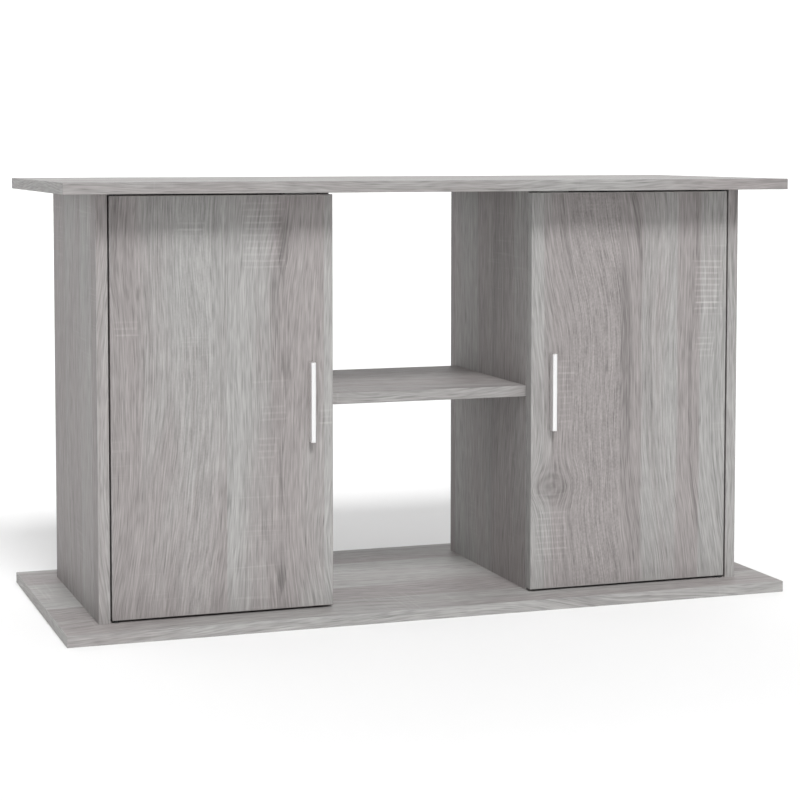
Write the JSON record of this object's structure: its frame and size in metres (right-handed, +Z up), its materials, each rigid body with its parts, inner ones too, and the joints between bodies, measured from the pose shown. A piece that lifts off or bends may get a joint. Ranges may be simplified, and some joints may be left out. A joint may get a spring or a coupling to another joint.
{
  "type": "aquarium stand cabinet",
  "caption": "Low rectangular aquarium stand with overhanging top and base plates, an inset-door cupboard at each end and an open bay with a shelf between them.",
  "frame": {"origin": "centre of the base plate's underside, on the floor", "axes": "+X to the right along the width, +Y to the back, +Z up"},
  "size_m": [1.01, 0.41, 0.58],
  "materials": {
    "grey_oak_board": "satin paper foil with a grey oak grain on particle board",
    "oak_edge_band": "satin grey oak edge banding",
    "back_panel_foil": "satin grey oak foil on thin fibreboard",
    "beech_dowel": "bare fluted beech",
    "zinc_casting": "die-cast zinc",
    "zinc_plated_steel": "bright zinc plating",
    "brushed_aluminium": "satin silver",
    "strike_plate_steel": "satin nickel plating",
    "grey_plastic": "matt grey",
    "white_nylon": "matt white",
    "black_nylon": "matt black",
    "blackened_steel": "black oxide finish",
    "clear_bumper": "soft translucent pad",
    "magnet_ferrite": "dark sintered magnet"
  },
  "bodies": {
    "carcass": {"top_board": "grey_oak_board", "top_edge_band": "oak_edge_band", "base_board": "grey_oak_board", "base_edge_band": "oak_edge_band", "left_side_panel": "grey_oak_board", "right_side_panel": "grey_oak_board", "side_panel_edge_bands": "oak_edge_band", "left_divider": "grey_oak_board", "right_divider": "grey_oak_board", "divider_edge_bands": "oak_edge_band", "centre_shelf": "grey_oak_board", "shelf_edge_bands": "oak_edge_band", "left_back_panel": "back_panel_foil", "right_back_panel": "back_panel_foil", "back_panel_nails": "zinc_plated_steel", "carcass_dowels": "beech_dowel", "shelf_dowels": "beech_dowel", "cam_locks": "zinc_casting", "cam_bolts": "zinc_plated_steel", "base_screws": "zinc_plated_steel", "shelf_screws": "zinc_plated_steel", "shelf_screw_caps": "grey_plastic", "pivot_bushes": "black_nylon", "door_bumpers": "clear_bumper", "catch_housings": "white_nylon", "catch_magnets": "magnet_ferrite", "catch_screws": "zinc_plated_steel"},
    "left_door": {"left_door": "grey_oak_board", "left_door_edge_band": "oak_edge_band", "left_handle": "brushed_aluminium", "left_handle_screws": "zinc_plated_steel", "left_pivot_pins": "blackened_steel", "left_strike_plate": "strike_plate_steel", "left_strike_screws": "zinc_plated_steel"},
    "right_door": {"right_door": "grey_oak_board", "right_door_edge_band": "oak_edge_band", "right_handle": "brushed_aluminium", "right_handle_screws": "zinc_plated_steel", "right_pivot_pins": "blackened_steel", "right_strike_plate": "strike_plate_steel", "right_strike_screws": "zinc_plated_steel"}
  },
  "joints": [
    {"name": "left_door_hinge", "type": "hinge", "parent": "carcass", "child": "left_door", "pos_m": [-0.4325, -0.15, 0.29], "axis": [0, 0, -1], "range_deg": [0, 100]},
    {"name": "right_door_hinge", "type": "hinge", "parent": "carcass", "child": "right_door", "pos_m": [0.4325, -0.15, 0.29], "axis": [0, 0, 1], "range_deg": [0, 100]}
  ]
}
